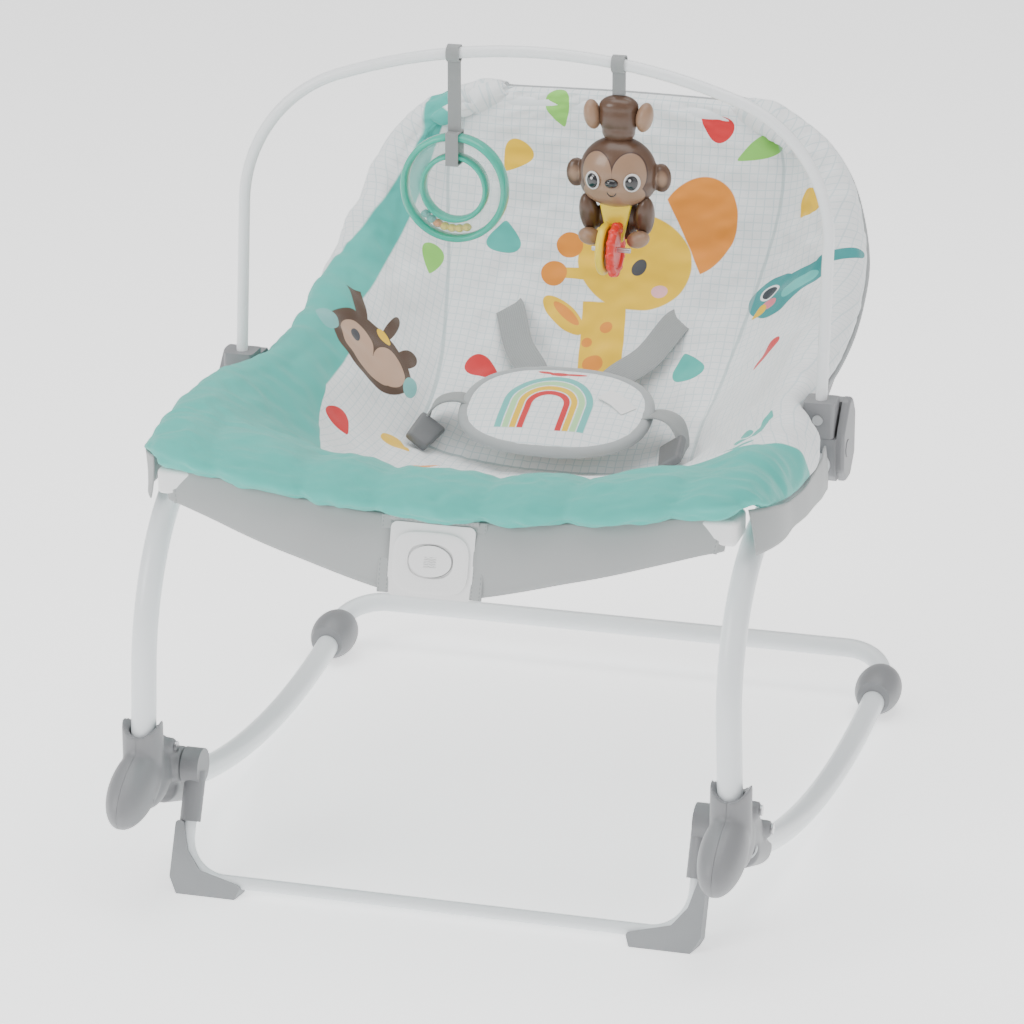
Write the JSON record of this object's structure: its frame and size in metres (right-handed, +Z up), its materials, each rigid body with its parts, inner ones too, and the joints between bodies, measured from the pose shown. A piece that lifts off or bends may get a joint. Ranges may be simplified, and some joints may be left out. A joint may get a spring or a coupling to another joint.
{
  "type": "infant bouncer seat",
  "caption": "Infant-to-toddler bouncer seat: padded sling on a bent-tube rocking frame, with a fold-out kickstand, reclining back and lift-off toy bar.",
  "frame": {"origin": "on the floor, under the middle of the width and of the length between the front hub noses and the rear tube", "axes": "+X across the seat to its right as seen from the front, +Y from the foot end to the head end, +Z up"},
  "size_m": [0.512, 0.6092, 0.5981],
  "materials": {
    "frame_white": "semi-gloss powder coat on steel tube",
    "plastic_grey": "moulded, satin",
    "rubber_grey": "matt moulded",
    "steel": "zinc plated",
    "case_white": "satin moulded",
    "board_green": "solder mask",
    "battery_black": "printed sleeve",
    "seat_fabric": "woven polyester, printed",
    "skirt_fabric": "plain woven polyester",
    "webbing_grey": "narrow-woven webbing",
    "buckle_grey": "moulded",
    "ring_mint": "translucent moulded",
    "ring_clear": "clear moulded",
    "bead_yellow": "moulded",
    "toy_red": "moulded",
    "toy_brown": "satin moulded"
  },
  "bodies": {
    "root": {"leg_tube_left": "frame_white", "leg_tube_right": "frame_white", "rocker_rail_left": "frame_white", "rocker_rail_right": "frame_white", "rear_tube": "frame_white", "front_cross_tube": "frame_white", "rear_connector_left": "plastic_grey", "rear_connector_right": "plastic_grey", "front_hub_outer_left": "plastic_grey", "front_hub_outer_right": "plastic_grey", "front_hub_inner_left": "plastic_grey", "front_hub_inner_right": "plastic_grey", "recline_housing_left": "plastic_grey", "recline_housing_right": "plastic_grey", "recline_cover_left": "plastic_grey", "recline_cover_right": "plastic_grey", "frame_screws": "steel", "case_screws": "steel", "battery_contacts": "steel", "motor": "steel", "vibration_case_front": "case_white", "vibration_case_back": "case_white", "battery_door": "case_white", "corner_sleeve_left": "case_white", "corner_sleeve_right": "case_white", "circuit_board": "board_green", "battery": "battery_black", "seat_pad": "seat_fabric", "front_skirt": "skirt_fabric", "side_skirt_left": "skirt_fabric", "side_skirt_right": "skirt_fabric"},
    "backrest": {"back_tube": "frame_white", "back_arm_left": "plastic_grey", "back_arm_right": "plastic_grey", "recline_pin_left": "steel", "recline_pin_right": "steel", "back_pad": "seat_fabric", "crotch_pad": "seat_fabric", "harness_straps": "webbing_grey", "harness_buckles": "buckle_grey"},
    "kickstand": {"kickstand_tube": "frame_white", "kickstand_socket_left": "plastic_grey", "kickstand_socket_right": "plastic_grey", "kickstand_foot_left": "rubber_grey", "kickstand_foot_right": "rubber_grey"},
    "toy_bar": {"toy_bar_arch": "frame_white", "toy_bar_plug_left": "plastic_grey", "toy_bar_plug_right": "plastic_grey", "toy_bar_screws": "steel"},
    "ring_toy": {"ring_strap": "webbing_grey", "ring_rims": "ring_mint", "ring_track": "ring_clear"},
    "ring_bead_set": {"ring_beads": "bead_yellow"},
    "monkey_toy": {"monkey_body": "toy_brown", "monkey_strap": "webbing_grey", "monkey_rod": "toy_brown"},
    "yellow_spinner": {"spinner_yellow": "bead_yellow"},
    "red_spinner": {"spinner_red": "toy_red"},
    "power_button": {"vibration_button": "case_white"},
    "left_recline_button": {"recline_button_left": "plastic_grey"},
    "right_recline_button": {"recline_button_right": "plastic_grey"},
    "eccentric_weight": {"motor_weight": "steel"}
  },
  "joints": [
    {"name": "recline", "type": "hinge", "parent": "root", "child": "backrest", "pos_m": [0, 0.021, 0.303], "axis": [1, 0, 0], "range_deg": [0, 12]},
    {"name": "kickstand_fold", "type": "hinge", "parent": "root", "child": "kickstand", "pos_m": [0, -0.207, 0.086], "axis": [1, 0, 0], "range_deg": [0, 90]},
    {"name": "toy_bar_lift", "type": "slide", "parent": "root", "child": "toy_bar", "axis": [0, 0, 1], "range_m": [0, 0.04]},
    {"name": "ring_swing", "type": "hinge", "parent": "toy_bar", "child": "ring_toy", "pos_m": [-0.065, 0.04157, 0.58926], "axis": [1, 0, 0], "range_deg": [-40, 40]},
    {"name": "bead_spin", "type": "hinge", "parent": "ring_toy", "child": "ring_bead_set", "pos_m": [-0.065, 0.04157, 0.48326], "axis": [0, 1, 0], "continuous": true},
    {"name": "monkey_swing", "type": "hinge", "parent": "toy_bar", "child": "monkey_toy", "pos_m": [0.065, 0.04157, 0.58926], "axis": [1, 0, 0], "range_deg": [-40, 40]},
    {"name": "yellow_spin", "type": "hinge", "parent": "monkey_toy", "child": "yellow_spinner", "pos_m": [0.065, 0.02157, 0.44926], "axis": [1, 0, 0], "continuous": true},
    {"name": "red_spin", "type": "hinge", "parent": "monkey_toy", "child": "red_spinner", "pos_m": [0.065, 0.02157, 0.44926], "axis": [1, 0, 0], "continuous": true},
    {"name": "power_press", "type": "slide", "parent": "root", "child": "power_button", "axis": [0, 0.9613, -0.2756], "range_m": [0, 0.002], "stiffness_N_per_m": 300},
    {"name": "left_recline_press", "type": "slide", "parent": "root", "child": "left_recline_button", "axis": [1, 0, 0], "range_m": [0, 0.003], "stiffness_N_per_m": 300},
    {"name": "right_recline_press", "type": "slide", "parent": "root", "child": "right_recline_button", "axis": [-1, 0, 0], "range_m": [0, 0.003], "stiffness_N_per_m": 300},
    {"name": "motor_spin", "type": "hinge", "parent": "root", "child": "eccentric_weight", "pos_m": [0, -0.23034, 0.26097], "axis": [1, 0, 0], "continuous": true}
  ]
}
